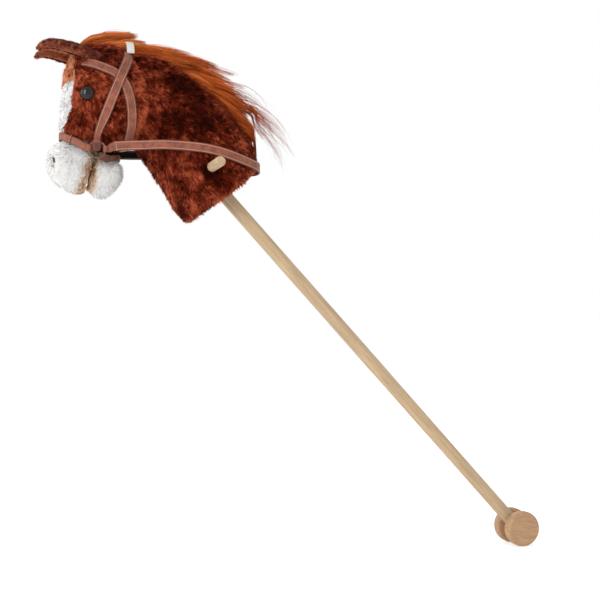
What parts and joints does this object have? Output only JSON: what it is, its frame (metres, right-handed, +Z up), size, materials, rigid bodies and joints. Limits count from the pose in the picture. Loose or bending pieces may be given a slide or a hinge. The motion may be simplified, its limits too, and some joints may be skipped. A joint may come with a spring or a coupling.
{
  "type": "hobby horse",
  "caption": "Stuffed horse head with bridle, reins and mane on a round wooden stick with hand pegs, and small wooden wheels at its lower end.",
  "frame": {"origin": "centre of the hand pegs, where the handle bar crosses the stick", "axes": "+Z up, -X to where the head looks, -Y to the horse's left; the stick runs down to +X"},
  "size_m": [0.6939, 0.22, 0.6945],
  "materials": {
    "beech": "bare sanded wood",
    "brown_plush": "short-pile plush",
    "white_plush": "short-pile plush",
    "peach_felt": "felt",
    "ear_felt": "felt",
    "filling": "loose polyester filling",
    "hair": "long pile",
    "tape": "woven tape",
    "strap_brown": "stitched imitation leather",
    "webbing": "woven webbing",
    "black_gloss": "polished",
    "washer_plastic": "plain",
    "dark_metal": "darkened"
  },
  "bodies": {
    "horse": {"stick": "beech", "handle_bar": "beech", "neck_side_left": "brown_plush", "neck_side_right": "brown_plush", "neck_base_panel": "brown_plush", "neck_stuffing": "filling", "head_side_left": "brown_plush", "head_side_right": "brown_plush", "forehead_panel": "brown_plush", "blaze_panel": "white_plush", "head_stuffing": "filling", "muzzle": "white_plush", "jaw": "white_plush", "mouth_lining": "peach_felt", "ear_left_outer": "brown_plush", "ear_left_lining": "ear_felt", "ear_right_outer": "brown_plush", "ear_right_lining": "ear_felt", "mane_strip": "tape", "mane_hair": "hair", "eye_left": "black_gloss", "eye_right": "black_gloss", "eye_washer_left": "washer_plastic", "eye_washer_right": "washer_plastic", "noseband": "strap_brown", "noseband_keeper_left": "dark_metal", "noseband_keeper_right": "dark_metal", "cheek_strap_left": "strap_brown", "cheek_strap_right": "strap_brown", "poll_loop": "webbing", "brow_throat_strap": "strap_brown", "chin_strap": "strap_brown", "ring_left": "dark_metal", "ring_right": "dark_metal"},
    "wheel_set": {"axle": "beech", "wheel_left": "beech", "wheel_right": "beech"},
    "rein": {"rein": "strap_brown", "rein_tab_left": "strap_brown", "rein_tab_right": "strap_brown"}
  },
  "joints": [
    {"name": "wheel_spin", "type": "hinge", "parent": "horse", "child": "wheel_set", "pos_m": [0.44962, 0, -0.48725], "axis": [0, 1, 0], "continuous": true},
    {"name": "rein_lift", "type": "hinge", "parent": "horse", "child": "rein", "pos_m": [-0.1445, 0, 0.019], "axis": [0, -1, 0], "range_deg": [0, 16]}
  ]
}
